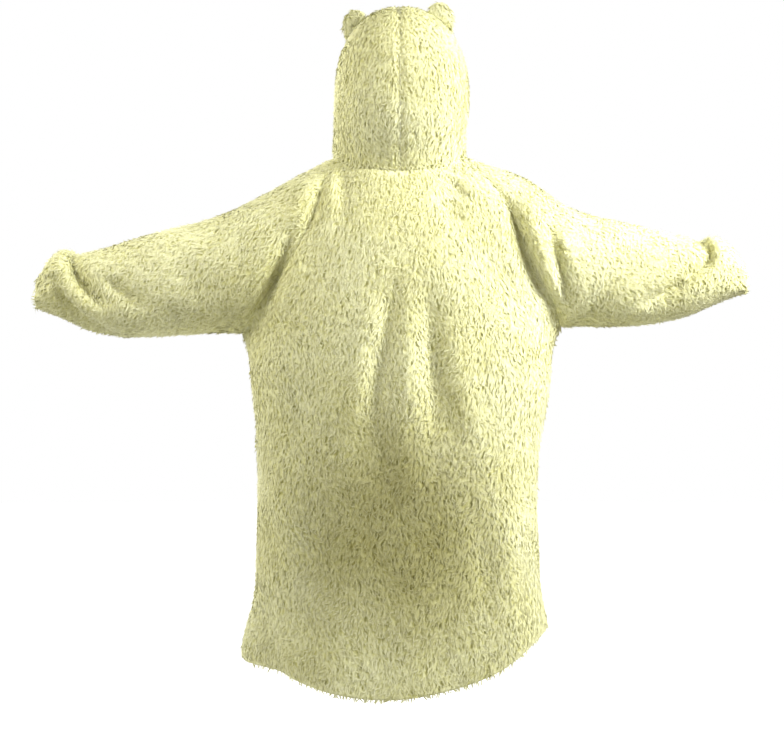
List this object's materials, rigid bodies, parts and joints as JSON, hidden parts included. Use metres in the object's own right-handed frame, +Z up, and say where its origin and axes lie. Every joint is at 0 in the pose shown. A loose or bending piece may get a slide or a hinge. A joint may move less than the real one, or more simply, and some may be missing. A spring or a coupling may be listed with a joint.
{
  "type": "wearable blanket hoodie",
  "caption": "Oversized plush pullover with a raised hood, small rounded ears, raglan sleeves held out and a curved hem.",
  "frame": {"origin": "middle of the neck opening, where the shoulders of a wearer carry the garment", "axes": "+Z up, -Y the front of the garment, +X the wearer's left, along the sleeves"},
  "size_m": [1.3491, 0.4048, 1.3047],
  "materials": {
    "plush": "deep sherpa-like plush pile in pale yellow-green, matt with a soft sheen, olive in the depth of the pile"
  },
  "bodies": {
    "root": {"body_back": "plush", "body_front": "plush", "sleeve_left": "plush", "sleeve_right": "plush", "hood_left": "plush", "hood_right": "plush", "ear_left": "plush", "ear_right": "plush"}
  },
  "joints": []
}
